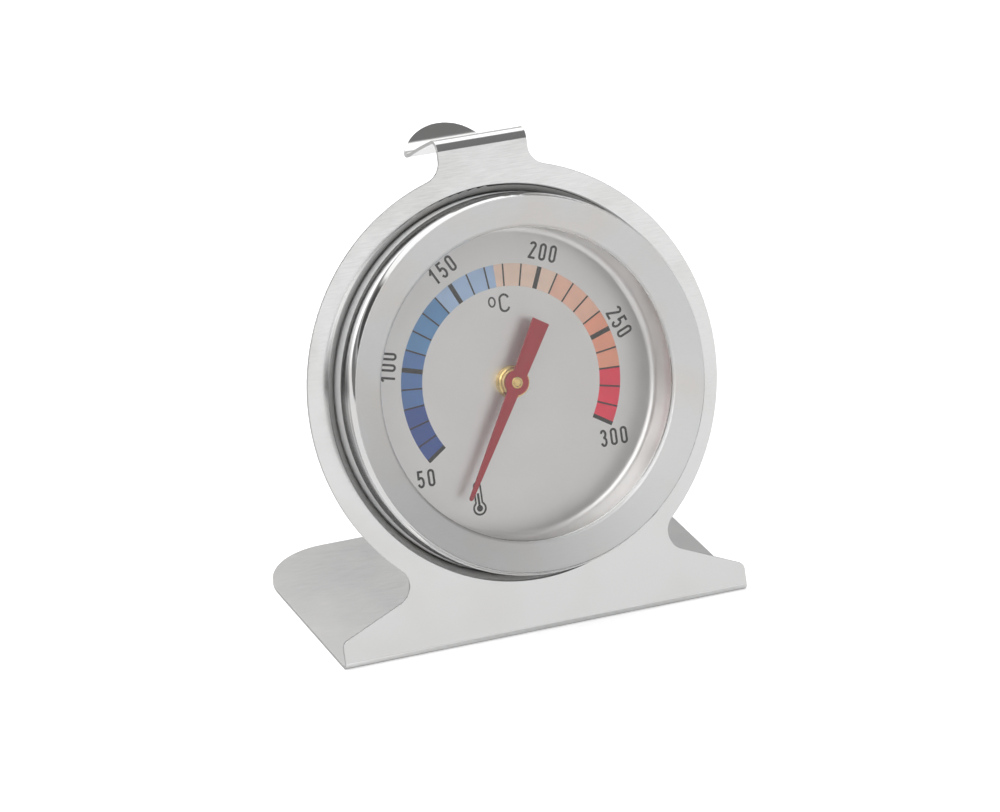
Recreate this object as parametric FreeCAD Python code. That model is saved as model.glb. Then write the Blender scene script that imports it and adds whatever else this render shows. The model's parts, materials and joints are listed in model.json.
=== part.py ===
"""Oven thermometer: a round bimetal dial thermometer in a bent sheet stand.

Millimetres, +Z up, +Y to the rear, the dial faces -Y and leans back.
Origin: centre of the footprint's bounding box, on the surface it stands on.

Most pieces are drawn in the plate frame (u, v, n): u across, v up the plate
from the virtual bend corner, n forward of the plate's front face. to_world()
leans that frame back and moves it to the origin above.
"""
import FreeCAD, Part
import math
import os

os.makedirs("parts", exist_ok=True)
V = FreeCAD.Vector

# ---------------------------------------------------------------- dimensions
# sheet stand
sheet_t = 0.5             # stainless sheet thickness
lean_deg = 20.3           # plate leans back from the vertical
half_w = 33.1             # half width of foot and plate base
foot_depth = 40.0         # bend corner to the foot's rear edge
foot_corner_r = 12.0      # rear corners of the foot
bend_r = 0.9              # outer radius of the foot bend
plate_r = 33.2            # radius of the round plate
centre_v = 38.14          # dial centre above the bend corner, up the plate
base_end_v = 4.36         # height of the base's end edge
base_slope = 0.417        # rise of the base's shoulder per mm inward
base_corner_r = 1.3       # corner between end edge and shoulder
neck_fillet_r = 3.0       # concave fillet from shoulder into the circle
tab_half_w = 7.25         # half width of the hook tab
tab_fillet_r = 3.0        # concave fillet from the circle into the tab
# plate hole with a collar drawn to the rear
lip_r = 30.0              # where the hole's lip starts to curve
lip_bend_r = 1.25         # front radius of the lip
collar_back_n = -3.2      # rear edge of the collar
# hook
ridge_v = 74.2            # where the plate starts to bend over
ridge_r = 1.7             # outer radius of the ridge
ridge_slope = 0.16        # rad past square, at the end of the ridge bend
droop = 0.08              # rad more over the gentle curve
droop_len = 10.2          # length of the gentle curve
valley_r = 4.0            # outer radius of the lip's upward curve
lip_turn = 1.34           # rad turned upward
tongue_straight = 10.5    # developed length before the tongue rounds off
tongue_end = 6.763        # developed length of the rounded end
# bezel
skirt_r = 28.65           # outside radius of the bezel's skirt
bezel_t = 0.45
face_out_r = 28.15        # outer edge of the bezel's face
face_out_n = 6.6
face_in_r = 23.95         # where the face turns into the inner lip
face_in_n = 5.35
aperture_r = 23.45        # clear radius inside the bezel
glass_n = 4.42            # front face of the glass
# glass
glass_r = 27.6
glass_t = 1.5
# dial
dial_n = -2.28            # printed face of the dial
dial_t = 0.4
dial_flat_r = 22.6
dial_flange_n = 2.88      # front of the dial's clamped flange
dial_flange_r = 27.8
# rear housing
cup_r = 28.15
cup_t = 0.4
cup_front_n = 2.44
cup_back_n = -9.9
cup_corner_r = 2.2
# movement
bush_head_r = 2.5
bush_barrel_r = 1.7
bore_r = 0.62
shaft_r = 0.6
shaft_back = 9.15         # shaft's rear end, behind the plate's face
pointer_n = -0.15         # rear face of the pointer's sheet
pointer_t = 0.3
rest_angle_deg = -148.4   # pointer's angle from the dial's top, clockwise
needle_len = 19.1
tail_len = 10.0
hub_r = 1.9
coil_pitch = 1.28
coil_r0 = 2.62
coil_half_turns = 16
coil_t = 0.35
coil_back_n = -8.7
coil_front_n = -5.7

th = math.radians(lean_deg)
S, C = math.sin(th), math.cos(th)


# ---------------------------------------------------------------- helpers
def to_world(shape):
    s = shape.copy()
    s.rotate(V(0, 0, 0), V(1, 0, 0), 90.0 - lean_deg)
    return s


def centred(shape):
    """Move a shape drawn about the dial's centre into the plate frame."""
    s = shape.copy()
    s.translate(V(0, centre_v, 0))
    return s


def line(a, b):
    return Part.makeLine(V(*a), V(*b))


def arc3(a, m, b):
    return Part.Arc(V(*a), V(*m), V(*b)).toShape()


def arc_c(c, r, a0, a1, z=0.0):
    """Arc in the XY plane about c, from angle a0 to a1 (radians)."""
    am = 0.5 * (a0 + a1)
    p = [(c[0] + r * math.cos(a), c[1] + r * math.sin(a), z) for a in (a0, am, a1)]
    return arc3(*p)


def revolve_rn(edges):
    """Revolve a closed profile, drawn as (r, 0, n), about the n axis."""
    f = Part.Face(Part.Wire(edges))
    return f.revolve(V(0, 0, 0), V(0, 0, 1), 360)


def ring(r_in, r_out, n0, n1):
    b = Part.makeCylinder(r_out, n1 - n0, V(0, 0, n0))
    if r_in > 0:
        b = b.cut(Part.makeCylinder(r_in, n1 - n0 + 2, V(0, 0, n0 - 1)))
    return b


def solid_of(shape):
    s = shape.removeSplitter()
    if s.ShapeType == "Compound" and len(s.Solids) == 1:
        s = s.Solids[0]
    return s


def try_fillet(shape, edges, radii):
    """Round edges, stepping down to a smaller radius if one doesn't fit."""
    for r in radii:
        try:
            f = shape.makeFillet(r, edges)
            if f.isValid() and len(f.Solids) == len(shape.Solids) and f.Volume > 0.5 * shape.Volume:
                return f
        except Exception:
            pass
    print("no fillet on", len(edges), "edges")
    return shape


# ---------------------------------------------------------------- stand
def build_plate():
    """Flat plate from the foot bend's end to the ridge, with the lip's hole."""
    T = bend_r * (1 + S) / C
    # shoulder line: from (half_w, base_end_v) going inward and up
    a = math.atan(base_slope)
    d = (-math.cos(a), math.sin(a))
    nrm = (math.sin(a), math.cos(a))            # up and outward
    # neck fillet: rf above the line, rf outside the circle
    rf = neck_fillet_r
    k = nrm[0] * half_w + nrm[1] * base_end_v + rf
    lo, hi = 21.0, 30.0
    for _ in range(60):
        cu = 0.5 * (lo + hi)
        cv = (k - nrm[0] * cu) / nrm[1]
        if math.hypot(cu, cv - centre_v) > plate_r + rf:
            hi = cu
        else:
            lo = cu
    p_line = (cu - nrm[0] * rf, cv - nrm[1] * rf)
    q = plate_r / (plate_r + rf)
    p_circ = (cu * q, centre_v + (cv - centre_v) * q)
    # end corner between the vertical end edge and the shoulder line
    rc = base_corner_r
    ccx = half_w - rc
    ccy = (nrm[0] * half_w + nrm[1] * base_end_v - rc - nrm[0] * ccx) / nrm[1]
    c_edge = (half_w, ccy)
    c_line = (ccx + nrm[0] * rc, ccy + nrm[1] * rc)
    am = 0.5 * math.atan2(nrm[1], nrm[0])
    c_mid = (ccx + rc * math.cos(am), ccy + rc * math.sin(am))
    # neck arc midpoint: on the side facing the plate
    v1 = (p_line[0] - cu, p_line[1] - cv)
    v2 = (p_circ[0] - cu, p_circ[1] - cv)
    vm = (v1[0] / rf + v2[0] / rf, v1[1] / rf + v2[1] / rf)
    l = math.hypot(*vm)
    n_mid = (cu + vm[0] / l * rf, cv + vm[1] / l * rf)
    # tab fillet
    rt = tab_fillet_r
    tu = tab_half_w + rt
    tv = centre_v + math.sqrt((plate_r + rt) ** 2 - tu ** 2)
    t_side = (tab_half_w, tv)
    q = plate_r / (plate_r + rt)
    t_circ = (tu * q, centre_v + (tv - centre_v) * q)
    v1 = (-1.0, 0.0)
    v2 = ((t_circ[0] - tu) / rt, (t_circ[1] - tv) / rt)
    vm = (v1[0] + v2[0], v1[1] + v2[1])
    l = math.hypot(*vm)
    t_mid = (tu + vm[0] / l * rt, tv + vm[1] / l * rt)
    big_mid = (plate_r, centre_v)

    def side(sg):
        f = lambda p: (sg * p[0], p[1], 0.0)
        return [line(f((half_w, T)), f(c_edge)), arc3(f(c_edge), f(c_mid), f(c_line)),
                line(f(c_line), f(p_line)), arc3(f(p_line), f(n_mid), f(p_circ)),
                arc3(f(p_circ), f(big_mid), f(t_circ)), arc3(f(t_circ), f(t_mid), f(t_side)),
                line(f(t_side), f((tab_half_w, ridge_v)))]

    edges = side(1) + [line((tab_half_w, ridge_v, 0), (-tab_half_w, ridge_v, 0))] + side(-1) \
        + [line((-half_w, T, 0), (half_w, T, 0))]
    face = Part.Face(Part.Wire(Part.__sortEdges__(edges)))
    plate = face.extrude(V(0, 0, -sheet_t))
    plate = plate.cut(Part.makeCylinder(lip_r, 4, V(0, centre_v, -2)))
    # lip and collar, revolved about the dial axis
    ro, ri = lip_bend_r, lip_bend_r - sheet_t
    r_in = lip_r - ro
    c45 = math.cos(math.pi / 4)
    prof = [arc3((lip_r, 0, 0), (lip_r - ro * c45, 0, -ro + ro * c45), (r_in, 0, -ro)),
            line((r_in, 0, -ro), (r_in, 0, collar_back_n)),
            line((r_in, 0, collar_back_n), (r_in + sheet_t, 0, collar_back_n)),
            line((r_in + sheet_t, 0, collar_back_n), (r_in + sheet_t, 0, -ro)),
            arc3((r_in + sheet_t, 0, -ro), (lip_r - ri * c45, 0, -ro + ri * c45), (lip_r, 0, -sheet_t)),
            line((lip_r, 0, -sheet_t), (lip_r, 0, 0))]
    lip = centred(revolve_rn(prof))
    return to_world(plate.fuse(lip))


def build_foot():
    """Foot and its bend, drawn as a side profile and extruded across."""
    T = bend_r * (1 + S) / C
    ctr = (T, bend_r)
    dirp = (-C, S)                                   # plate's front normal
    l = math.hypot(ctr[0], ctr[1])
    dmid = (-ctr[0] / l, -ctr[1] / l)
    P = lambda y, z: (-half_w, y, z)
    ro, ri = bend_r, bend_r - sheet_t
    at = lambda r, dd: P(ctr[0] + r * dd[0], ctr[1] + r * dd[1])
    edges = [line(P(foot_depth, 0), P(T, 0)),
             arc3(P(T, 0), at(ro, dmid), at(ro, dirp)),
             line(at(ro, dirp), at(ri, dirp)),
             arc3(at(ri, dirp), at(ri, dmid), P(T, sheet_t)),
             line(P(T, sheet_t), P(foot_depth, sheet_t)),
             line(P(foot_depth, sheet_t), P(foot_depth, 0))]
    foot = Part.Face(Part.Wire(edges)).extrude(V(2 * half_w, 0, 0))
    # rounded rear corners
    r = foot_corner_r
    for sg in (-1, 1):
        cx, cy = sg * (half_w - r), foot_depth - r
        box = Part.makeBox(r + 1, r + 1, 4, V(min(cx, cx + sg * (r + 1)), cy, -1))
        foot = foot.cut(box.cut(Part.makeCylinder(r, 6, V(cx, cy, -2))))
    return foot


def tongue_profile():
    """(v, n, heading, s) along the hook's outer face, from the ridge's end."""
    h = math.pi / 2 + ridge_slope
    v, n = ridge_v + ridge_r * math.sin(h), -ridge_r + ridge_r * math.cos(h)
    total = tongue_straight + tongue_end + 1.0       # the last mm is cut away
    steps = 900
    ds = total / steps
    out = [(v, n, h, 0.0)]
    for i in range(steps):
        s = (i + 0.5) * ds
        if s < droop_len:
            hh = h + droop * s / droop_len
        elif s < droop_len + valley_r * lip_turn:
            hh = h + droop - (s - droop_len) / valley_r
        else:
            hh = h + droop - lip_turn
        v += math.cos(hh) * ds
        n -= math.sin(hh) * ds
        out.append((v, n, hh, (i + 1) * ds))
    return out


def build_tongue():
    """Ridge bend and tongue, drawn in the plate frame's v-n plane."""
    h1 = math.pi / 2 + ridge_slope
    t = sheet_t
    prof = tongue_profile()
    s_v = [droop_len, droop_len + valley_r * lip_turn, prof[-1][3]]

    def at_s(s):
        i = min(range(len(prof)), key=lambda j: abs(prof[j][3] - s))
        return prof[i]

    def outer(p):
        return (-tab_half_w, p[0], p[1])

    def inner(p):
        # inward normal: towards the concave side of the ridge bend
        return (-tab_half_w, p[0] - t * math.sin(p[2]), p[1] - t * math.cos(p[2]))

    def ridge_pt(r, h):
        return (-tab_half_w, ridge_v + r * math.sin(h), -ridge_r + r * math.cos(h))

    pts_s = [0.0, 0.5 * droop_len, droop_len, droop_len + 0.5 * valley_r * lip_turn,
             droop_len + valley_r * lip_turn]
    q = [at_s(s) for s in pts_s]
    e = prof[-1]
    # headings at the profile's own joints, so that the offset is exact
    hs = [h1, h1 + 0.5 * droop, h1 + droop, h1 + droop - 0.5 * lip_turn, h1 + droop - lip_turn]
    q = [(a[0], a[1], hh) for a, hh in zip(q, hs)]
    e = (e[0], e[1], h1 + droop - lip_turn)
    straight = prof[-1][3] > s_v[1] + 1e-3
    ri = ridge_r - t
    edges = [arc3(ridge_pt(ridge_r, 0), ridge_pt(ridge_r, h1 / 2), outer(q[0])),
             arc3(outer(q[0]), outer(q[1]), outer(q[2]))]
    if straight:
        edges += [arc3(outer(q[2]), outer(q[3]), outer(q[4])), line(outer(q[4]), outer(e)),
                  line(outer(e), inner(e)), line(inner(e), inner(q[4])),
                  arc3(inner(q[4]), inner(q[3]), inner(q[2]))]
    else:
        m = at_s(0.5 * (droop_len + prof[-1][3]))
        e = prof[-1]
        edges += [arc3(outer(q[2]), outer(m), outer(e)), line(outer(e), inner(e)),
                  arc3(inner(e), inner(m), inner(q[2]))]
    edges += [arc3(inner(q[2]), inner(q[1]), inner(q[0])),
              arc3(inner(q[0]), ridge_pt(ri, h1 / 2), ridge_pt(ri, 0)),
              line(ridge_pt(ri, 0), ridge_pt(ridge_r, 0))]
    w = Part.Wire(Part.__sortEdges__(edges))
    body = Part.Face(w).extrude(V(2 * tab_half_w, 0, 0))
    # rounded end: the developed half ellipse, cut square to the raised end.
    # w runs along the raised end, k through its thickness
    he = h1 + droop - lip_turn
    ch, sh = math.cos(he), math.sin(he)

    def wk(u, w, k):
        return V(u, w * ch + k * sh, -w * sh + k * ch)

    K = 30
    right = []
    for i in range(K + 1):
        a = 0.5 * math.pi * i / K
        p = at_s(tongue_straight + tongue_end * math.sin(a))
        right.append((tab_half_w * math.cos(a) if i < K else 0.0, p[0] * ch - p[1] * sh))
    w0, w1 = right[0][1], right[-1][1] + 6
    outline = [(tab_half_w + 6, w0)] + right + [(-u, w) for u, w in reversed(right[:-1])] \
        + [(-tab_half_w - 6, w0), (-tab_half_w - 6, w1), (tab_half_w + 6, w1)]
    pts = [wk(u, w, -30.0) for u, w in outline]
    cutter = Part.Face(Part.makePolygon(pts + [pts[0]])).extrude(V(0, 110 * sh, 110 * ch))
    body = body.cut(cutter)
    return to_world(body)


def build_stand():
    s = build_plate().fuse([build_foot(), build_tongue()])
    return solid_of(s)


# ---------------------------------------------------------------- case
def build_bezel():
    """Pressed ring: swaged rear edge, skirt, shoulder, sloping face, lip."""
    t = bezel_t
    a = math.atan2(face_out_n - face_in_n, face_out_r - face_in_r)
    fn = (-math.sin(a), math.cos(a))                 # face normal in (r, n)
    wall_top = 4.9
    back = collar_back_n - 0.05
    P = lambda r, n: (r, 0.0, n)
    # shoulder arc from the wall up to the face's outer edge
    sh_mid = (skirt_r - 0.13, 5.9)
    fo_in = (face_out_r - 0.35 * t - 0.05, face_out_n - t)
    lip_r_ = aperture_r
    li = (face_in_r + fn[0] * (-t), face_in_n + fn[1] * (-t))
    edges = [
        # outside, from the swaged edge upward
        line(P(skirt_r, back), P(skirt_r, wall_top)),
        arc3(P(skirt_r, wall_top), P(*sh_mid), P(face_out_r, face_out_n)),
        line(P(face_out_r, face_out_n), P(face_in_r, face_in_n)),
        arc3(P(face_in_r, face_in_n), P(lip_r_ + 0.12, face_in_n - 0.30), P(lip_r_, glass_n + 0.42)),
        line(P(lip_r_, glass_n + 0.42), P(lip_r_ + 0.06, glass_n + 0.03)),
        line(P(lip_r_ + 0.06, glass_n + 0.03), P(lip_r_ + t, glass_n + 0.03)),
        line(P(lip_r_ + t, glass_n + 0.03), P(li[0] + 0.35, li[1] + 0.06)),
        line(P(li[0] + 0.35, li[1] + 0.06), P(skirt_r - t - 0.55, face_out_n - t - 0.12)),
        arc3(P(skirt_r - t - 0.55, face_out_n - t - 0.12), P(skirt_r - t - 0.12, 5.75), P(skirt_r - t, wall_top)),
        line(P(skirt_r - t, wall_top), P(skirt_r - t, back - 0.25)),
        # swaged rear edge: turns outward over the collar's rear edge
        arc3(P(skirt_r - t, back - 0.25), P(skirt_r - t + 0.13, back - 0.25 - 0.32), P(skirt_r - t + 0.45, back - 0.25 - 0.45)),
        line(P(skirt_r - t + 0.45, back - 0.70), P(skirt_r + 0.75, back - 0.70)),
        arc3(P(skirt_r + 0.75, back - 0.70), P(skirt_r + 0.98, back - 0.45), P(skirt_r + 0.75, back - 0.20)),
        line(P(skirt_r + 0.75, back - 0.20), P(skirt_r + 0.10, back - 0.20)),
        line(P(skirt_r + 0.10, back - 0.20), P(skirt_r, back)),
    ]
    return centred(revolve_rn(edges))


def build_glass():
    g = Part.makeCylinder(glass_r, glass_t, V(0, 0, glass_n - glass_t))
    g = g.makeChamfer(0.2, [e for e in g.Edges if e.Length > 10])
    return centred(g)


def build_dial():
    """Dished dial: flat disc, cove, cone and clamped flange, one sheet."""
    t = dial_t
    n0 = dial_n
    P = lambda r, n: (r, 0.0, n)
    # cove: front radius rc turning up to the cone
    rc = 1.1
    cone = math.radians(74.0)                        # cone's angle from the flat
    cx, cn = dial_flat_r, n0 + rc
    ex, en = cx + rc * math.sin(cone), cn - rc * math.cos(cone)
    mx, mn = cx + rc * math.sin(cone / 2), cn - rc * math.cos(cone / 2)
    # flange bend, front radius rb (convex)
    rb = 0.7
    top = dial_flange_n
    # centre of the flange bend lies rb below the flange's front face
    bn = top - rb
    # start of the bend on the cone
    sn = bn + rb * math.cos(cone)
    sx = ex + (sn - en) / math.tan(cone)
    bx = sx + rb * math.sin(cone)
    mx2 = bx - rb * math.sin(cone / 2)
    mn2 = bn + rb * math.cos(cone / 2)
    ro = rc + t
    ri = max(rb - t, 0.05)
    e = [line(P(bush_barrel_r + 0.04, n0), P(cx, n0)),
         arc3(P(cx, n0), P(mx, mn), P(ex, en)),
         line(P(ex, en), P(sx, sn)),
         arc3(P(sx, sn), P(mx2, mn2), P(bx, top)),
         line(P(bx, top), P(dial_flange_r, top)),
         line(P(dial_flange_r, top), P(dial_flange_r, top - t)),
         line(P(dial_flange_r, top - t), P(bx, top - t)),
         arc3(P(bx, top - t), P(bx - ri * math.sin(cone / 2), bn + ri * math.cos(cone / 2)),
              P(bx - ri * math.sin(cone), bn + ri * math.cos(cone))),
         line(P(bx - ri * math.sin(cone), bn + ri * math.cos(cone)),
              P(cx + ro * math.sin(cone), cn - ro * math.cos(cone))),
         arc3(P(cx + ro * math.sin(cone), cn - ro * math.cos(cone)),
              P(cx + ro * math.sin(cone / 2), cn - ro * math.cos(cone / 2)), P(cx, n0 - t)),
         line(P(cx, n0 - t), P(bush_barrel_r + 0.04, n0 - t)),
         line(P(bush_barrel_r + 0.04, n0 - t), P(bush_barrel_r + 0.04, n0))]
    return centred(revolve_rn(e))


def build_cup():
    """Rear housing with a stepped wall and three curved vent slots."""
    t = cup_t
    r, rs = cup_r, cup_r - 1.1
    ro, ri = cup_corner_r, cup_corner_r - t
    back = cup_back_n
    P = lambda a, n: (a, 0.0, n)
    c45 = math.cos(math.pi / 4)
    st0, st1 = -4.6, -5.7                            # the wall steps in here
    e = [line(P(r, cup_front_n), P(r, st0)),
         line(P(r, st0), P(rs, st1)),
         line(P(rs, st1), P(rs, back + ro)),
         arc3(P(rs, back + ro), P(rs - ro + ro * c45, back + ro - ro * c45), P(rs - ro, back)),
         line(P(rs - ro, back), P(0, back)),
         line(P(0, back), P(0, back + t)),
         line(P(0, back + t), P(rs - ro, back + t)),
         arc3(P(rs - ro, back + t), P(rs - ro + ri * c45, back + ro - ri * c45), P(rs - t, back + ro)),
         line(P(rs - t, back + ro), P(rs - t, st1 + 0.15)),
         line(P(rs - t, st1 + 0.15), P(r - t, st0 + 0.15)),
         line(P(r - t, st0 + 0.15), P(r - t, cup_front_n)),
         line(P(r - t, cup_front_n), P(r, cup_front_n))]
    cup = revolve_rn(e)
    # vent slots on the back, each an arc 2.4 wide on a 15 mm radius
    w, rv, half = 1.2, 15.0, math.radians(19)
    for k in range(3):
        am = math.radians(90 + 120 * k)
        a0, a1 = am - half, am + half
        z = back - 1
        pr = lambda rr, a: (rr * math.cos(a), rr * math.sin(a), z)
        cap = lambda a, sg: (rv * math.cos(a) - sg * w * math.sin(a), rv * math.sin(a) + sg * w * math.cos(a), z)
        edges = [arc3(pr(rv - w, a0), pr(rv - w, am), pr(rv - w, a1)),
                 arc3(pr(rv - w, a1), cap(a1, 1), pr(rv + w, a1)),
                 arc3(pr(rv + w, a1), pr(rv + w, am), pr(rv + w, a0)),
                 arc3(pr(rv + w, a0), cap(a0, -1), pr(rv - w, a0))]
        slot = Part.Face(Part.Wire(edges)).extrude(V(0, 0, 3))
        cup = cup.cut(slot)
    return centred(cup)


# ---------------------------------------------------------------- movement
def build_bush():
    """Brass bush: domed head on the dial, barrel through dial, arm and nut."""
    n0 = dial_n + 0.02
    h = 1.05
    P = lambda r, n: (r, 0.0, n)
    back = -5.15
    e = [line(P(bore_r, n0 + h), P(bush_head_r - 0.55, n0 + h)),
         arc3(P(bush_head_r - 0.55, n0 + h), P(bush_head_r - 0.16, n0 + h - 0.16), P(bush_head_r, n0 + h - 0.55)),
         line(P(bush_head_r, n0 + h - 0.55), P(bush_head_r, n0)),
         line(P(bush_head_r, n0), P(bush_barrel_r, n0)),
         line(P(bush_barrel_r, n0), P(bush_barrel_r, back)),
         line(P(bush_barrel_r, back), P(bore_r, back)),
         line(P(bore_r, back), P(bore_r, n0 + h))]
    return centred(revolve_rn(e))


arm_angle = -38.0         # direction of the anchor arm, degrees from +u
arm_half_w = 2.2
arm_n1 = dial_n - dial_t - 0.02
arm_t = 0.5
a_off = coil_pitch / 4.0  # centres of the coil's half circles lie at +-a_off
coil_last_r = coil_r0 + 2 * a_off * (coil_half_turns - 1)


def coil_frame(shape):
    """Turn a movement piece so that its +x points along the anchor arm."""
    s = shape.copy()
    s.rotate(V(0, 0, 0), V(0, 0, 1), arm_angle + 12.0)
    return centred(s)


tab_a0, tab_a1 = math.radians(-19.0), math.radians(-4.0)
tab_r0 = coil_last_r + coil_t / 2 + 0.05


def build_arm():
    """Strip clamped under the nut, its end bent back outside the coil."""
    am = 0.5 * (tab_a0 + tab_a1)
    r1 = tab_r0 + arm_t
    strip = Part.makeBox(r1 - 0.12, 2 * arm_half_w, arm_t, V(0, -arm_half_w, arm_n1 - arm_t))
    strip = strip.fuse(Part.makeCylinder(3.6, arm_t, V(0, 0, arm_n1 - arm_t)))
    strip.rotate(V(0, 0, 0), V(0, 0, 1), math.degrees(am))
    strip = strip.cut(Part.makeCylinder(bush_barrel_r + 0.04, 4, V(0, 0, arm_n1 - 2)))
    # curved tab, concentric with the coil's last half turn
    n0 = coil_back_n
    tab = ring(tab_r0, r1, n0, arm_n1 - 0.02)
    tab.translate(V(a_off, 0, 0))
    wedge = Part.makeBox(30, 2 * arm_half_w, 20, V(2, -arm_half_w, -15))
    wedge.rotate(V(0, 0, 0), V(0, 0, 1), math.degrees(am))
    tab = tab.common(wedge)
    body = strip.fuse(tab)
    # rivet hole through the tab
    body = body.cut(rivet_cyl(0.52, tab_r0 - 1, r1 + 1))
    return coil_frame(solid_of(body))


def rivet_cyl(r, r_from, r_to):
    am = 0.5 * (tab_a0 + tab_a1)
    nm = 0.5 * (coil_back_n + coil_front_n)
    # radial axis from the last half turn's centre
    d = V(math.cos(am), math.sin(am), 0)
    p = V(a_off, 0, nm) + d * r_from
    return Part.makeCylinder(r, r_to - r_from, p, d)


def build_rivet():
    r_in = coil_last_r - coil_t / 2
    r_out = tab_r0 + arm_t
    b = rivet_cyl(0.5, r_in - 0.1, r_out + 0.1)
    b = b.fuse(rivet_cyl(0.85, r_in - 0.34, r_in - 0.03))
    b = b.fuse(rivet_cyl(0.9, r_out + 0.06, r_out + 0.5).fuse(rivet_cyl(0.5, r_out, r_out + 0.2)))
    return coil_frame(solid_of(b))


def build_coil():
    """Flat spiral from half circles about two centres, pitch 4 a_off."""
    solids = None
    n0, n1 = coil_back_n, coil_front_n
    outer, inner = [], []
    for i in range(coil_half_turns):
        r = coil_r0 + 2 * a_off * i
        up = i % 2 == 0
        c = (-a_off, 0) if up else (a_off, 0)
        a0, a1 = (0, math.pi) if up else (math.pi, 2 * math.pi)
        if i == coil_half_turns - 1:
            a1 = tab_a1 + 2 * math.pi + math.radians(3.0)
        outer.append(arc_c(c, r + coil_t / 2, a0, a1, n0))
        inner.append(arc_c(c, r - coil_t / 2, a0, a1, n0))
        end = (c, r, a1)
    x0 = -a_off + coil_r0
    c, r, a1 = end
    pe = lambda rr: (c[0] + rr * math.cos(a1), c[1] + rr * math.sin(a1), n0)
    edges = outer + inner + [line((x0 - coil_t / 2, 0, n0), (x0 + coil_t / 2, 0, n0)),
                             line(pe(r - coil_t / 2), pe(r + coil_t / 2))]
    w = Part.Wire(Part.__sortEdges__(edges))
    strip = Part.Face(w).extrude(V(0, 0, n1 - n0))
    strip = strip.cut(rivet_cyl(0.52, coil_last_r - 1, coil_last_r + 1))
    return coil_frame(solid_of(strip))


def build_washer():
    n1 = arm_n1 - arm_t - 0.02
    return centred(ring(bush_barrel_r + 0.05, 3.3, n1 - 0.3, n1))


def build_nut():
    n1 = arm_n1 - arm_t - 0.02 - 0.3 - 0.02
    af = 5.5
    pts = [V(af / math.sqrt(3) * math.cos(math.radians(60 * k + 30)), af / math.sqrt(3) * math.sin(math.radians(60 * k + 30)), n1 - 1.2)
           for k in range(6)]
    hexa = Part.Face(Part.makePolygon(pts + [pts[0]])).extrude(V(0, 0, 1.2))
    cone = Part.makeCone(af / math.sqrt(3) - 0.32, af / math.sqrt(3) + 0.9, 1.2, V(0, 0, n1 - 1.2))
    hexa = hexa.common(cone)
    return centred(hexa.cut(Part.makeCylinder(bush_barrel_r + 0.02, 3, V(0, 0, n1 - 2))))


def build_thrust_washer():
    return centred(ring(shaft_r + 0.04, 1.5, -5.37, -5.19))


def build_collet():
    r = coil_r0 - a_off - coil_t / 2 - 0.03
    P = lambda a, n: (a, 0.0, n)
    e = [line(P(shaft_r + 0.02, -5.4), P(r - 0.2, -5.4)), line(P(r - 0.2, -5.4), P(r, -5.6)),
         line(P(r, -5.6), P(r, -8.85)), line(P(r, -8.85), P(shaft_r + 0.02, -8.85)),
         line(P(shaft_r + 0.02, -8.85), P(shaft_r + 0.02, -5.4))]
    return centred(revolve_rn(e))


def build_shaft():
    s = Part.makeCylinder(shaft_r, pointer_n + pointer_t + 0.2 + shaft_back, V(0, 0, -shaft_back))
    s = s.makeChamfer(0.1, [ed for ed in s.Edges if len(ed.Vertexes) == 1 and abs(ed.Length - 2 * math.pi * shaft_r) < 0.1])
    return centred(s)


def build_boss():
    """Brass collar behind the pointer, riveted over in front of it."""
    P = lambda a, n: (a, 0.0, n)
    nb = -1.12
    nf = pointer_n - 0.01
    e = [line(P(shaft_r + 0.02, nb), P(1.75, nb)), line(P(1.75, nb), P(2.12, nb + 0.3)),
         line(P(2.12, nb + 0.3), P(2.12, nf)), line(P(2.12, nf), P(0.8, nf)),
         line(P(0.8, nf), P(0.8, pointer_n + pointer_t + 0.01)),
         line(P(0.8, pointer_n + pointer_t + 0.01), P(0.9, pointer_n + pointer_t + 0.01)),
         arc3(P(0.9, pointer_n + pointer_t + 0.01), P(0.86, pointer_n + pointer_t + 0.14), P(0.74, pointer_n + pointer_t + 0.19)),
         line(P(0.74, pointer_n + pointer_t + 0.19), P(shaft_r + 0.02, pointer_n + pointer_t + 0.19)),
         line(P(shaft_r + 0.02, pointer_n + pointer_t + 0.19), P(shaft_r + 0.02, nb))]
    return centred(revolve_rn(e))


def build_pointer():
    """Needle up, tail down, then turned to the rest angle."""
    t = pointer_t
    z = pointer_n
    hub = Part.makeCylinder(hub_r, t, V(0, 0, z))

    def blade(pts):
        w = Part.makePolygon([V(x, y, z) for x, y in pts] + [V(pts[0][0], pts[0][1], z)])
        return Part.Face(w).extrude(V(0, 0, t))
    needle = blade([(0.98, 0.6), (0.30, needle_len - 0.25), (0.12, needle_len), (-0.12, needle_len),
                    (-0.30, needle_len - 0.25), (-0.98, 0.6)])
    tail = blade([(-1.10, -0.8), (-1.42, -tail_len), (1.42, -tail_len), (1.10, -0.8)])
    p = solid_of(hub.fuse([needle, tail]))
    p = p.cut(Part.makeCylinder(0.82, 2, V(0, 0, z - 0.5)))
    ed = [x for x in p.Edges if abs(x.BoundBox.ZMin - (z + t)) < 1e-6 and abs(x.BoundBox.ZMax - (z + t)) < 1e-6 and x.Length > 0.3]
    p = try_fillet(p, ed, (0.06, 0.04))
    p.rotate(V(0, 0, 0), V(0, 0, 1), -rest_angle_deg)
    return centred(p)


# ---------------------------------------------------------------- assemble
parts = {"stand_bracket": build_stand()}
for name, fn in (("bezel_ring", build_bezel), ("lens_glass", build_glass), ("dial_plate", build_dial),
                 ("case_cup", build_cup), ("centre_bush", build_bush), ("anchor_arm", build_arm),
                 ("anchor_rivet", build_rivet), ("bimetal_coil", build_coil), ("bush_washer", build_washer),
                 ("bush_nut", build_nut), ("thrust_washer", build_thrust_washer), ("coil_collet", build_collet),
                 ("pointer_shaft", build_shaft), ("pointer_boss", build_boss), ("pointer", build_pointer)):
    parts[name] = to_world(fn())

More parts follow.
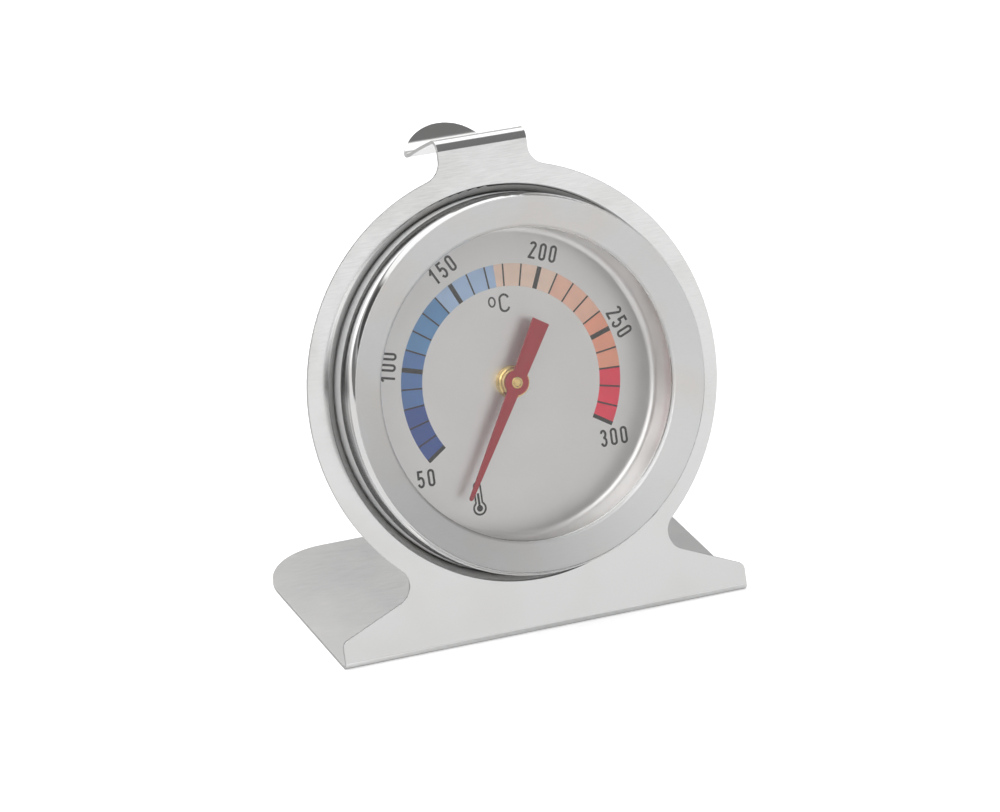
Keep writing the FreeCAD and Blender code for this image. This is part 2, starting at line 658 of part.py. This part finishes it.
box = None
for s in parts.values():
    bb = s.optimalBoundingBox(True, False) if hasattr(s, "optimalBoundingBox") else s.BoundBox
    box = bb if box is None else box.united(bb)
y_shift = -0.5 * (box.YMin + box.YMax)
for name, s in parts.items():
    s.translate(V(0, y_shift, 0))
    s.exportStep("parts/%s.step" % name)
    print("%-16s valid=%s solids=%d volume=%.2f" % (name, s.isValid(), len(s.Solids), s.Volume))
print("box", [round(x, 3) for x in (box.XMin, box.YMin + y_shift, box.ZMin, box.XMax, box.YMax + y_shift, box.ZMax)])
print("y_shift", round(y_shift, 4))
print("pivot", 0.0, round(centre_v * S + y_shift, 4), round(centre_v * C, 4), "axis", 0.0, round(C, 5), round(-S, 5))
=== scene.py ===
import bpy, json, math
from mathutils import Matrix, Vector


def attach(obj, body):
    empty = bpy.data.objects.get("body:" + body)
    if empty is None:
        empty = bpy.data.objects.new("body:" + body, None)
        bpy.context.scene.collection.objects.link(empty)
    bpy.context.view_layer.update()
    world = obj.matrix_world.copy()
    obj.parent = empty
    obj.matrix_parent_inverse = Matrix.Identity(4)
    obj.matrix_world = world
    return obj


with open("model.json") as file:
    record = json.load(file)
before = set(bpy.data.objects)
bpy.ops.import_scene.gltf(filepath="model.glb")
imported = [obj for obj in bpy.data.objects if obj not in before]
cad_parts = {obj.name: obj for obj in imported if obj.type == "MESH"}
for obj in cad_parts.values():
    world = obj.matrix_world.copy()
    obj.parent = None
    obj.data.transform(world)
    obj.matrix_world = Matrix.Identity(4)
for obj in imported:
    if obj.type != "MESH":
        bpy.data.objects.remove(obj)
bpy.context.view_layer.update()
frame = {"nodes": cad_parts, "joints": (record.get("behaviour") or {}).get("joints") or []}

# ------------------------------------------------------------------ frame of the dial
# origin: the pointer's pivot in the plate's front plane; n points out of the dial
JOINT = frame["joints"][0]
PIVOT = Vector(JOINT["pos_m"])
LEAN = math.radians(20.3)
S, C = math.sin(LEAN), math.cos(LEAN)
EX, EV, EN = Vector((1, 0, 0)), Vector((0, S, C)), Vector((0, -C, S))
DIAL_N = -2.28          # mm, printed face
NODES = frame["nodes"]


def D(x, y, n):
    """Point in the dial's own frame (mm) to the row frame (m)."""
    return PIVOT + (EX * x + EV * y + EN * n) * 0.001


# ------------------------------------------------------------------ node helpers
def new_material(name):
    m = bpy.data.materials.new(name)
    m.use_nodes = True
    nt = m.node_tree
    b = next(n for n in nt.nodes if n.type == "BSDF_PRINCIPLED")
    return m, nt, b


def N(nt, kind, **kw):
    n = nt.nodes.new(kind)
    for k, v in kw.items():
        setattr(n, k, v)
    return n


def coords(nt, rot=(0, 0, 0), scale=(1, 1, 1), loc=(0, 0, 0)):
    """Object coordinates in mm, turned so that x, y lie in the sheet."""
    tc = N(nt, "ShaderNodeTexCoord")
    mp = N(nt, "ShaderNodeMapping")
    mp.vector_type = "POINT"
    mp.inputs["Location"].default_value = loc
    mp.inputs["Rotation"].default_value = rot
    mp.inputs["Scale"].default_value = [s * 1000 for s in scale]
    # scale is applied before the turn, so the turn comes from a node of its own
    vr = N(nt, "ShaderNodeVectorRotate", rotation_type="EULER_XYZ")
    vr.inputs["Rotation"].default_value = rot
    mp.inputs["Rotation"].default_value = (0, 0, 0)
    nt.links.new(tc.outputs["Object"], vr.inputs["Vector"])
    nt.links.new(vr.outputs["Vector"], mp.inputs["Vector"])
    return mp.outputs["Vector"]


def noise(nt, vec, scale, detail=2.0, rough=0.5):
    n = N(nt, "ShaderNodeTexNoise")
    n.inputs["Scale"].default_value = scale
    n.inputs["Detail"].default_value = detail
    n.inputs["Roughness"].default_value = rough
    nt.links.new(vec, n.inputs["Vector"])
    return n.outputs["Fac"]


def maprange(nt, val, a, b, c, d, smooth=False):
    n = N(nt, "ShaderNodeMapRange")
    if smooth:
        n.interpolation_type = "SMOOTHSTEP"
    for k, v in zip(("From Min", "From Max", "To Min", "To Max"), (a, b, c, d)):
        n.inputs[k].default_value = v
    nt.links.new(val, n.inputs["Value"])
    return n.outputs["Result"]


def math_node(nt, op, a, b):
    n = N(nt, "ShaderNodeMath", operation=op)
    for i, v in enumerate((a, b)):
        if isinstance(v, (int, float)):
            n.inputs[i].default_value = v
        else:
            nt.links.new(v, n.inputs[i])
    return n.outputs[0]


def mix_colour(nt, fac, a, b):
    n = N(nt, "ShaderNodeMix", data_type="RGBA")
    n.inputs[6].default_value = (*a, 1) if not hasattr(a, "is_linked") and len(a) == 3 else (1, 1, 1, 1)
    n.inputs[7].default_value = (*b, 1)
    if hasattr(a, "node"):
        nt.links.new(a, n.inputs[6])
    nt.links.new(fac, n.inputs[0])
    return n.outputs[2]


def bump(nt, height, strength, distance, base=None):
    n = N(nt, "ShaderNodeBump")
    n.inputs["Strength"].default_value = strength
    n.inputs["Distance"].default_value = distance
    nt.links.new(height, n.inputs["Height"])
    if base is not None:
        nt.links.new(base, n.inputs["Normal"])
    return n.outputs["Normal"]


def dial_polar(nt):
    """Distance from the dial's axis and height above the plate, in mm."""
    tc = N(nt, "ShaderNodeTexCoord")
    sub = N(nt, "ShaderNodeVectorMath", operation="SUBTRACT")
    nt.links.new(tc.outputs["Object"], sub.inputs[0])
    sub.inputs[1].default_value = PIVOT
    cr = N(nt, "ShaderNodeVectorMath", operation="CROSS_PRODUCT")
    nt.links.new(sub.outputs[0], cr.inputs[0])
    cr.inputs[1].default_value = EN * 1000
    ln = N(nt, "ShaderNodeVectorMath", operation="LENGTH")
    nt.links.new(cr.outputs[0], ln.inputs[0])
    dt = N(nt, "ShaderNodeVectorMath", operation="DOT_PRODUCT")
    nt.links.new(sub.outputs[0], dt.inputs[0])
    dt.inputs[1].default_value = EN * 1000
    return ln.outputs["Value"], dt.outputs["Value"]


def rounded(nt, radius_mm):
    n = N(nt, "ShaderNodeBevel", samples=6)
    n.inputs["Radius"].default_value = radius_mm * 0.001
    return n.outputs["Normal"]


# the sheet's own axes: x across, y up the plate, z out of it
PLATE_TURN = (LEAN - math.pi / 2, 0, 0)


def steel(name, colour, rough, turn=(0, 0, 0), grain=(0.10, 1.6), grain_bump=0.10, blotch=(0.97, 0.96, 0.93),
          edge=0.08, rough_var=0.05, speck=0.0):
    """Rolled stainless: fine grain lines along x, soft roughness and tint drift."""
    m, nt, b = new_material(name)
    b.inputs["Metallic"].default_value = 1.0
    v = coords(nt, rot=turn, scale=(grain[0], grain[1], grain[1]))
    lines = noise(nt, v, 4.0, 3.0, 0.6)
    vc = coords(nt, rot=turn, scale=(1, 1, 1))
    fine = noise(nt, vc, 5.5, 2.0, 0.6)
    cloud = noise(nt, vc, 0.085, 2.0, 0.5)
    tint = mix_colour(nt, maprange(nt, cloud, 0.36, 0.66, 0, 1, True), colour, tuple(c * t for c, t in zip(colour, blotch)))
    nt.links.new(tint, b.inputs["Base Color"])
    r = math_node(nt, "ADD", maprange(nt, lines, 0.3, 0.7, rough - rough_var, rough + rough_var),
                  maprange(nt, cloud, 0.3, 0.7, -0.02, 0.02))
    nt.links.new(r, b.inputs["Roughness"])
    h = math_node(nt, "ADD", lines, math_node(nt, "MULTIPLY", fine, 0.5))
    base = rounded(nt, edge) if edge else None
    nt.links.new(bump(nt, h, grain_bump, 0.00002, base), b.inputs["Normal"])
    return m


# ------------------------------------------------------------------ materials
stand_steel = steel("satin_sheet_steel", (0.80, 0.80, 0.798), 0.145, PLATE_TURN, grain=(0.10, 1.1), grain_bump=0.022,
                    blotch=(0.975, 0.97, 0.96), edge=0.09, rough_var=0.025)


def sheet_details(m):
    """The formed edge round the hole, slightly smoother and darkened as a painted dark reflection, and darker sheared
    edges.
    """
    nt = m.node_tree
    b = next(n for n in nt.nodes if n.type == "BSDF_PRINCIPLED")
    r, n = dial_polar(nt)
    near = math_node(nt, "MULTIPLY", maprange(nt, n, -5.0, -4.6, 0, 1), maprange(nt, n, 0.5, 0.2, 0, 1))
    painted_dark_lip = math_node(nt, "MULTIPLY", maprange(nt, r, 30.02, 29.86, 0, 1, True), near)
    geo = N(nt, "ShaderNodeNewGeometry")
    dots = []
    for d in (EX, EN):
        q = N(nt, "ShaderNodeVectorMath", operation="DOT_PRODUCT")
        nt.links.new(geo.outputs["True Normal"], q.inputs[0])
        q.inputs[1].default_value = d
        dots.append(math_node(nt, "ABSOLUTE", q.outputs["Value"], 0.0))
    side = maprange(nt, dots[0], 0.70, 0.80, 0, 1)
    rim = math_node(nt, "MULTIPLY", maprange(nt, dots[1], 0.55, 0.40, 0, 1),
                    math_node(nt, "MULTIPLY", maprange(nt, r, 31.5, 32.0, 0, 1),
                              math_node(nt, "MULTIPLY", maprange(nt, n, -0.66, -0.62, 0, 1), maprange(nt, n, 0.06, 0.02, 0, 1))))
    sheared = math_node(nt, "MAXIMUM", side, rim)
    old = b.inputs["Base Color"].links[0].from_socket
    c = mix_colour(nt, sheared, old, (0.40, 0.40, 0.395))
    # painted dark reflection: the lip's colour is darkened to stand in for the dark gap it mirrors
    c = mix_colour(nt, painted_dark_lip, c, (0.38, 0.38, 0.375))
    nt.links.new(c, b.inputs["Base Color"])
    ro = b.inputs["Roughness"].links[0].from_socket
    ro = math_node(nt, "ADD", ro, math_node(nt, "MULTIPLY", sheared, 0.14))
    nt.links.new(math_node(nt, "SUBTRACT", ro, math_node(nt, "MULTIPLY", painted_dark_lip, 0.03)), b.inputs["Roughness"])


sheet_details(stand_steel)
case_steel = steel("pressed_case_steel", (0.70, 0.70, 0.695), 0.24, PLATE_TURN, grain=(0.15, 1.2), grain_bump=0.05, edge=0.1)
small_steel = steel("plated_steel", (0.66, 0.66, 0.65), 0.26, PLATE_TURN, grain=(0.5, 0.9), grain_bump=0.06, edge=0.05)
bimetal = steel("bimetal_strip", (0.56, 0.51, 0.44), 0.30, PLATE_TURN, grain=(0.4, 0.4), grain_bump=0.06,
                blotch=(0.96, 0.90, 0.80), edge=0.03)


def bezel_metal():
    """Satin sloping face, polished shoulder and skirt, faint heat tint in places."""
    m, nt, b = new_material("pressed_bezel_steel")
    b.inputs["Metallic"].default_value = 1.0
    r, n = dial_polar(nt)
    vc = coords(nt, rot=PLATE_TURN)
    lines = noise(nt, coords(nt, rot=PLATE_TURN, scale=(0.10, 1.3, 1.3)), 3.0, 3.0, 0.6)
    fine = noise(nt, vc, 4.0, 2.0, 0.6)
    cloud = noise(nt, vc, 0.085, 2.0, 0.5)
    tint = mix_colour(nt, maprange(nt, cloud, 0.45, 0.66, 0, 1, True), (0.70, 0.701, 0.70), (0.70, 0.682, 0.665))
    # the band between the rubbed ring and the shoulder is darker: a painted dark reflection on the polished skirt
    skirt_band_painted_dark = math_node(nt, "MULTIPLY", maprange(nt, r, 28.3, 28.45, 0, 1, True),
                      math_node(nt, "MULTIPLY", maprange(nt, n, 1.6, 1.9, 0, 1, True), maprange(nt, n, 4.7, 4.4, 0, 1, True)))
    nt.links.new(mix_colour(nt, skirt_band_painted_dark, tint, (0.42, 0.42, 0.418)), b.inputs["Base Color"])
    face = math_node(nt, "MULTIPLY", maprange(nt, r, 28.15, 28.0, 0, 1, True), maprange(nt, n, 4.9, 5.1, 0, 1, True))
    # dull rubbed ring low on the skirt, where it was pushed into the hole
    rubbed = maprange(nt, n, 1.9, 1.5, 0, 1, True)
    nt.links.new(math_node(nt, "SUBTRACT", 1.0, math_node(nt, "MULTIPLY", rubbed, 0.8)), b.inputs["Metallic"])
    satin = maprange(nt, lines, 0.3, 0.7, 0.55, 0.61)
    shine = maprange(nt, fine, 0.3, 0.7, 0.07, 0.11)
    rough = math_node(nt, "ADD", math_node(nt, "MULTIPLY", satin, face),
                      math_node(nt, "MULTIPLY", shine, math_node(nt, "SUBTRACT", 1.0, face)))
    rough = math_node(nt, "ADD", rough, math_node(nt, "MULTIPLY", rubbed, 0.35))
    nt.links.new(rough, b.inputs["Roughness"])
    h = math_node(nt, "MULTIPLY", math_node(nt, "ADD", lines, fine), face)
    nt.links.new(bump(nt, h, 0.035, 0.00002, rounded(nt, 0.06)), b.inputs["Normal"])
    return m


bezel_steel = bezel_metal()


def dial_metal():
    m, nt, b = new_material("satin_dial_aluminium")
    b.inputs["Metallic"].default_value = 1.0
    vc = coords(nt, rot=PLATE_TURN)
    fine = noise(nt, vc, 3.2, 3.0, 0.7)
    cloud = noise(nt, vc, 0.12, 2.0, 0.5)
    nt.links.new(mix_colour(nt, maprange(nt, cloud, 0.35, 0.65, 0, 1, True), (0.80, 0.79, 0.785), (0.785, 0.775, 0.765)),
                 b.inputs["Base Color"])
    nt.links.new(maprange(nt, fine, 0.3, 0.7, 0.37, 0.45), b.inputs["Roughness"])
    nt.links.new(bump(nt, fine, 0.22, 0.00003), b.inputs["Normal"])
    return m


def brass(name, rough=0.24, colour=(0.83, 0.62, 0.27)):
    m, nt, b = new_material(name)
    b.inputs["Metallic"].default_value = 1.0
    vc = coords(nt, rot=PLATE_TURN)
    cloud = noise(nt, vc, 0.9, 3.0, 0.6)
    nt.links.new(mix_colour(nt, maprange(nt, cloud, 0.35, 0.7, 0, 1, True), colour, tuple(c * k for c, k in zip(colour, (0.86, 0.78, 0.66)))),
                 b.inputs["Base Color"])
    # turning marks: rings about the pivot
    tc = N(nt, "ShaderNodeTexCoord")
    sub = N(nt, "ShaderNodeVectorMath", operation="SUBTRACT")
    nt.links.new(tc.outputs["Object"], sub.inputs[0])
    sub.inputs[1].default_value = PIVOT
    cr = N(nt, "ShaderNodeVectorMath", operation="CROSS_PRODUCT")
    nt.links.new(sub.outputs[0], cr.inputs[0])
    cr.inputs[1].default_value = EN
    ln = N(nt, "ShaderNodeVectorMath", operation="LENGTH")
    nt.links.new(cr.outputs[0], ln.inputs[0])
    wave = math_node(nt, "SINE", math_node(nt, "MULTIPLY", ln.outputs["Value"], 2 * math.pi / 0.00011), 0.0)
    nt.links.new(maprange(nt, cloud, 0.3, 0.7, rough - 0.04, rough + 0.06), b.inputs["Roughness"])
    nt.links.new(bump(nt, wave, 0.10, 0.000004, rounded(nt, 0.06)), b.inputs["Normal"])
    return m


def painted(name, colour, rough=0.5, var=0.9, edge=0.03, coat=0.0):
    """Thin enamel: faint orange peel and a slight drift of tone."""
    m, nt, b = new_material(name)
    vc = coords(nt, rot=PLATE_TURN)
    cloud = noise(nt, vc, 0.6, 2.0, 0.5)
    fine = noise(nt, vc, 9.0, 2.0, 0.5)
    nt.links.new(mix_colour(nt, maprange(nt, cloud, 0.3, 0.7, 0, 1, True), colour, tuple(c * var for c in colour)), b.inputs["Base Color"])
    nt.links.new(maprange(nt, fine, 0.3, 0.7, rough - 0.05, rough + 0.05), b.inputs["Roughness"])
    nt.links.new(bump(nt, fine, 0.15, 0.00001, rounded(nt, edge) if edge else None), b.inputs["Normal"])
    if coat:
        b.inputs["Coat Weight"].default_value = coat
    return m


def glass():
    m, nt, b = new_material("clear_glass")
    b.inputs["Base Color"].default_value = (0.995, 0.995, 0.99, 1)
    b.inputs["Transmission Weight"].default_value = 1.0
    b.inputs["IOR"].default_value = 1.5
    vc = coords(nt, rot=PLATE_TURN)
    nt.links.new(maprange(nt, noise(nt, vc, 0.5, 2.0, 0.5), 0.3, 0.7, 0.0, 0.012), b.inputs["Roughness"])
    out = next(n for n in nt.nodes if n.type == "OUTPUT_MATERIAL")
    lp = N(nt, "ShaderNodeLightPath")
    tr = N(nt, "ShaderNodeBsdfTransparent")
    mx = N(nt, "ShaderNodeMixShader")
    nt.links.new(lp.outputs["Is Shadow Ray"], mx.inputs[0])
    nt.links.new(b.outputs[0], mx.inputs[1])
    nt.links.new(tr.outputs[0], mx.inputs[2])
    nt.links.new(mx.outputs[0], out.inputs["Surface"])
    return m


dial_mat = dial_metal()
brass_mat = brass("turned_brass")
red_mat = painted("pointer_red_enamel", (0.36, 0.010, 0.022), 0.42, 0.9, edge=0.05)
glass_mat = glass()

FINISH = {"stand_bracket": stand_steel, "bezel_ring": bezel_steel, "lens_glass": glass_mat, "dial_plate": dial_mat,
          "case_cup": case_steel, "centre_bush": brass_mat, "anchor_arm": small_steel, "anchor_rivet": small_steel,
          "bimetal_coil": bimetal, "bush_washer": small_steel, "bush_nut": brass_mat, "thrust_washer": small_steel,
          "coil_collet": brass_mat, "pointer_shaft": brass_mat, "pointer_boss": brass_mat, "pointer": red_mat}
for name, ob in NODES.items():
    mat = FINISH[name]
    if not ob.material_slots:
        ob.data.materials.append(mat)
    for sl in ob.material_slots:
        sl.material = mat


# ------------------------------------------------------------------ printed scale
# scale: angle from the dial's top, clockwise; one turn of the print about the centre
PX, PY, P_ROT, P_K = 0.067, 0.047, -1.061, 0.982
R_IN, R_OUT = 14.41, 17.80
INK_T = 0.012           # mm, thickness of a printed layer


def temp_angle(t):
    return math.radians((t - 175) * P_K + P_ROT)


def prism_mesh(name, strips, mat, z0, z1):
    """One closed thin solid per strip. A strip is (left points, right points, closed)."""
    verts, faces = [], []
    for left, right, closed in strips:
        n = len(left)
        base = len(verts)
        for z in (z0, z1):
            for p in list(left) + list(right):
                verts.append(D(PX + p[0], PY + p[1], DIAL_N + z))
        lo, hi = base, base + 2 * n
        last = n if closed else n - 1
        for i in range(last):
            j = (i + 1) % n
            faces.append((hi + i, hi + n + i, hi + n + j, hi + j))          # top
            faces.append((lo + i, lo + j, lo + n + j, lo + n + i))          # underside
            faces.append((lo + i, hi + i, hi + j, lo + j))                  # left wall
            faces.append((lo + n + i, lo + n + j, hi + n + j, hi + n + i))  # right wall
        if not closed:
            faces.append((lo, lo + n, hi + n, hi))
            faces.append((lo + n - 1, hi + n - 1, hi + 2 * n - 1, lo + 2 * n - 1))
    me = bpy.data.meshes.new(name)
    me.from_pydata(verts, [], faces)
    me.materials.append(mat)
    me.validate()
    import bmesh
    bm = bmesh.new()
    bm.from_mesh(me)
    bmesh.ops.recalc_face_normals(bm, faces=bm.faces)
    bm.to_mesh(me)
    bm.free()
    me.update()
    ob = bpy.data.objects.new(name, me)
    bpy.context.scene.collection.objects.link(ob)
    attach(ob, "root")
    return ob


def arc_strip(r0, r1, a0, a1, step=1.5):
    k = max(2, int(abs(math.degrees(a1 - a0)) / step) + 1)
    an = [a0 + (a1 - a0) * i / (k - 1) for i in range(k)]
    return ([(r1 * math.sin(a), r1 * math.cos(a)) for a in an], [(r0 * math.sin(a), r0 * math.cos(a)) for a in an], False)


def stroke(points, width, closed=False):
    """Left and right edges of a line of even width, mitred at its points."""
    n = len(points)
    left, right = [], []
    for i, p in enumerate(points):
        if closed:
            a, b = points[i - 1], points[(i + 1) % n]
        else:
            a, b = points[max(i - 1, 0)], points[min(i + 1, n - 1)]
        d1 = Vector((p[0] - a[0], p[1] - a[1]))
        d2 = Vector((b[0] - p[0], b[1] - p[1]))
        if d1.length < 1e-9:
            d1 = d2.copy()
        if d2.length < 1e-9:
            d2 = d1.copy()
        d1.normalize(); d2.normalize()
        t = d1 + d2
        t.normalize()
        nr = Vector((-t.y, t.x))
        k = width / 2 / max(0.5, nr.dot(Vector((-d1.y, d1.x))))
        left.append((p[0] + nr.x * k, p[1] + nr.y * k))
        right.append((p[0] - nr.x * k, p[1] - nr.y * k))
    return left, right, closed


def ell(cx, cy, rx, ry, a0, a1, k=15):
    return [(cx + rx * math.cos(math.radians(a0 + (a1 - a0) * i / (k - 1))),
             cy + ry * math.sin(math.radians(a0 + (a1 - a0) * i / (k - 1)))) for i in range(k)]


def glyph(ch, w, h, s):
    """Strokes of one upright character, centreline box w-s by h-s, from (0, 0)."""
    W, H = w - s, h - s
    a = W / 2
    o = []
    if ch == "0":
        o.append((ell(a, H - a, a, a, 0, 180, 13) + ell(a, a, a, a, 180, 360, 13), True))
    elif ch == "1":
        o.append(([(0.64 * W, H + s / 2), (0.64 * W, -s / 2)], False))
        o.append(([(0.02 * W, 0.70 * H), (0.62 * W, 0.985 * H)], False))
    elif ch == "2":
        o.append((ell(a, H - a, a, a, 172, -38, 16) + [(0.02 * W, 0.02 * H)], False))
        o.append(([(-s / 2, 0), (W + s / 2, 0)], False))
    elif ch == "3":
        o.append((ell(a, 0.765 * H, 0.92 * a, 0.235 * H, 165, -90, 16)[:-1] + [(0.42 * W, 0.53 * H)], False))
        o.append(([(0.42 * W, 0.53 * H)] + ell(a, 0.265 * H, a, 0.265 * H, 88, -165, 16), False))
    elif ch == "5":
        o.append(([(W, H), (0.10 * W, H)], False))
        o.append(([(0.10 * W, H + s / 2), (0.04 * W, 0.47 * H)], False))
        o.append((ell(0.47 * W, 0.30 * H, 0.53 * W, 0.30 * H, 140, -160, 20), False))
    elif ch == "C":
        o.append((ell(a, H - a, a, a, 12, 180, 13) + ell(a, a, a, a, 180, 348, 13), False))
    elif ch == "o":
        o.append((ell(a, H / 2, a, H / 2, 0, 345, 24), True))
    return o


def text_strips(text, cx, cy, turn_deg, h=2.65, w=1.15, s=0.36, advance=1.68):
    t = math.radians(turn_deg)
    total = advance * (len(text) - 1) + w
    out = []
    for i, ch in enumerate(text):
        x0 = -total / 2 + i * advance + s / 2
        y0 = -h / 2 + s / 2
        for pts, closed in glyph(ch, w, h, s):
            q = []
            for px, py in pts:
                x, y = px + x0, py + y0
                q.append((cx + x * math.cos(t) + y * math.sin(t), cy - x * math.sin(t) + y * math.cos(t)))
            out.append(stroke(q, s, closed))
    return out


# the band's colours, dull lithographed inks
BANDS = [("band_050_080", 50, 80, (0.035, 0.085, 0.33)), ("band_080_110", 80, 110, (0.085, 0.200, 0.480)),
         ("band_110_140", 110, 140, (0.110, 0.290, 0.560)), ("band_140_175", 140, 175, (0.410, 0.560, 0.800)),
         ("band_175_210", 175, 210, (0.860, 0.640, 0.520)), ("band_210_240", 210, 240, (0.860, 0.500, 0.375)),
         ("band_240_270", 240, 270, (0.860, 0.350, 0.230)), ("band_270_300", 270, 300, (0.820, 0.028, 0.075))]
for name, t0, t1, col in BANDS:
    prism_mesh(name, [arc_strip(R_IN, R_OUT, temp_angle(t0), temp_angle(t1))], painted(name + "_ink", col, 0.45, 0.93, edge=0), 0.0, INK_T)

ink = painted("dark_ink", (0.016, 0.013, 0.011), 0.5, 0.8, edge=0)
ticks = []
for t in range(50, 301, 10):
    a = temp_angle(t)
    wide = 0.25
    if t in (100, 150, 200, 250):
        wide = 0.72
    if t in (50, 300):
        wide = 0.6
    # the end lines lie inside the band's ends
    off = {50: wide / 2, 300: -wide / 2}.get(t, 0.0)
    d, s_ = (math.sin(a), math.cos(a)), (math.cos(a), -math.sin(a))
    pts = [(r * d[0] + off * s_[0], r * d[1] + off * s_[1]) for r in (R_IN, R_OUT)]
    ticks.append(stroke(pts, wide))
prism_mesh("scale_ticks", ticks, ink, INK_T * 0.5, INK_T * 2)

LABELS = [("figure_050", "50", -15.78, -12.05, 0), ("figure_100", "100", -19.35, 5.38, -77),
          ("figure_150", "150", -8.53, 18.38, -29), ("figure_200", "200", 7.91, 18.44, 20),
          ("figure_250", "250", 18.73, 6.00, 68), ("figure_300", "300", 15.26, -11.08, 0)]
for name, text, x, y, turn in LABELS:
    prism_mesh(name, text_strips(text, x, y, turn), ink, 0.0, INK_T)
unit = text_strips("C", 0.62, 11.90, 0, h=2.85, w=1.75, s=0.33)
unit += text_strips("o", -1.35, 12.30, 0, h=1.65, w=1.25, s=0.26)
prism_mesh("unit_mark", unit, ink, 0.0, INK_T)

# a plain pictogram of a stem thermometer between two rules
pict = [stroke([(x, y) for x, y in ell(-7.9, -18.0, 0.95, 0.95, 125, 415, 25)], 0.30),
        stroke([(-8.42, -17.25), (-8.42, -14.6)], 0.28), stroke([(-7.38, -17.25), (-7.38, -14.6)], 0.28),
        stroke(ell(-7.9, -14.6, 0.52, 0.52, 0, 180, 13), 0.28), stroke([(-7.9, -17.9), (-7.9, -15.7)], 0.36),
        stroke(ell(-7.9, -18.0, 0.24, 0.24, 0, 345, 24), 0.5, True)]
prism_mesh("pictogram", pict, ink, 0.0, INK_T)

# ------------------------------------------------------------------ camera
AZ, EL = math.radians(-23.658), math.radians(25.136)
back = Vector((math.sin(AZ) * math.cos(EL), -math.cos(AZ) * math.cos(EL), math.sin(EL)))
right = Vector((math.cos(AZ), math.sin(AZ), 0))
up = back.cross(right)
target = Vector((0, -0.0203294, 0.033)) + right * -0.00763 + up * 0.004116
cam_data = bpy.data.cameras.new("camera")
cam_data.lens = 194.27
cam_data.sensor_width = 36.0
cam_data.clip_start = 0.01
cam_data.clip_end = 20
cam = bpy.data.objects.new("camera", cam_data)
cam.location = target + back * 0.8
cam.rotation_euler = back.to_track_quat("Z", "Y").to_euler()
bpy.context.scene.collection.objects.link(cam)
bpy.context.scene.camera = cam

# ------------------------------------------------------------------ stage
floor_me = bpy.data.meshes.new("floor")
floor_me.from_pydata([(-1.6, -1.6, 0), (1.6, -1.6, 0), (1.6, 1.6, 0), (-1.6, 1.6, 0)], [], [(0, 1, 2, 3)])
floor = bpy.data.objects.new("floor", floor_me)
bpy.context.scene.collection.objects.link(floor)
fm, fnt, fb = new_material("floor_white")
fb.inputs["Base Color"].default_value = (0.80, 0.80, 0.80, 1)
fb.inputs["Roughness"].default_value = 0.9
fb.inputs["Specular IOR Level"].default_value = 0.0
fb.inputs["Emission Color"].default_value = (1, 1, 1, 1)
flp = N(fnt, "ShaderNodeLightPath")
fnt.links.new(math_node(fnt, "MULTIPLY", flp.outputs["Is Camera Ray"], 0.45), fb.inputs["Emission Strength"])
floor_me.materials.append(fm)

# ------------------------------------------------------------------ light
# a white table and a low white front wall, one large soft box above and behind
# to the left, and an unlit room above the camera
world = bpy.data.worlds.new("studio")
bpy.context.scene.world = world
world.use_nodes = True
wt = world.node_tree
wbg = next(n for n in wt.nodes if n.type == "BACKGROUND")
wtc = N(wt, "ShaderNodeTexCoord")
wdir = N(wt, "ShaderNodeVectorMath", operation="NORMALIZE")
wt.links.new(wtc.outputs["Generated"], wdir.inputs[0])
wxyz = N(wt, "ShaderNodeSeparateXYZ")
wt.links.new(wdir.outputs[0], wxyz.inputs[0])


def toward(direction, a, b, lo, hi):
    """Smooth change with the angle (degrees) from a direction: lo at a, hi at b."""
    d = N(wt, "ShaderNodeVectorMath", operation="DOT_PRODUCT")
    wt.links.new(wdir.outputs[0], d.inputs[0])
    d.inputs[1].default_value = Vector(direction).normalized()
    return maprange(wt, d.outputs["Value"], math.cos(math.radians(a)), math.cos(math.radians(b)), lo, hi, True)


def sin_d(e):
    return math.sin(math.radians(e))


Z = wxyz.outputs["Z"]
low = math_node(wt, "ADD", maprange(wt, Z, sin_d(-25), sin_d(9), 0.56, 0.61), maprange(wt, Z, sin_d(10), sin_d(15), 0.0, 0.31))
low = math_node(wt, "ADD", low,
                toward((0.50, -0.86, 0.1), 40, 105, 0.0, -0.46))
low = math_node(wt, "MULTIPLY", low, maprange(wt, Z, sin_d(15.4), sin_d(18.2), 1.0, 0.0, True))
back = math_node(wt, "MULTIPLY", toward((0.30, 0.93, 0.2), 70, 40, 0.0, 0.31), maprange(wt, Z, sin_d(40), sin_d(20), 0.0, 1.0, True))
room = toward((0.9, -0.1, 0.6), 100, 40, 0.085, 0.20)
box = toward((-0.05, 0.52, 0.85), 38, 30, 0.0, 1.30)
front = toward((-0.45, -0.45, 0.77), 38, 20, 0.0, 2.1)
level = math_node(wt, "ADD", math_node(wt, "ADD", low, back), math_node(wt, "ADD", room, math_node(wt, "ADD", box, front)))
wt.links.new(level, wbg.inputs["Strength"])
wbg.inputs["Color"].default_value = (1, 1, 1, 1)


def area(name, loc, aim, size, energy):
    l = bpy.data.lights.new(name, "AREA")
    l.shape = "DISK"
    l.size = size
    l.energy = energy
    o = bpy.data.objects.new(name, l)
    o.location = loc
    o.rotation_euler = (Vector(loc) - Vector(aim)).to_track_quat("Z", "Y").to_euler()
    bpy.context.scene.collection.objects.link(o)
    return o


key = area("key", (-0.45, 0.55, 1.05), (0, 0, 0.03), 0.7, 4.0)
fill = area("front_fill", (0.55, -1.0, 0.35), (0, 0, 0.03), 0.9, 2.5)
for l in (key, fill):
    l.visible_glossy = False        # the soft box and the front wall in the world already mirror
    l.visible_transmission = False

vs = bpy.context.scene.view_settings
vs.view_transform = "Standard"
vs.look = "None"
vs.exposure = 0.0
vs.gamma = 1.0
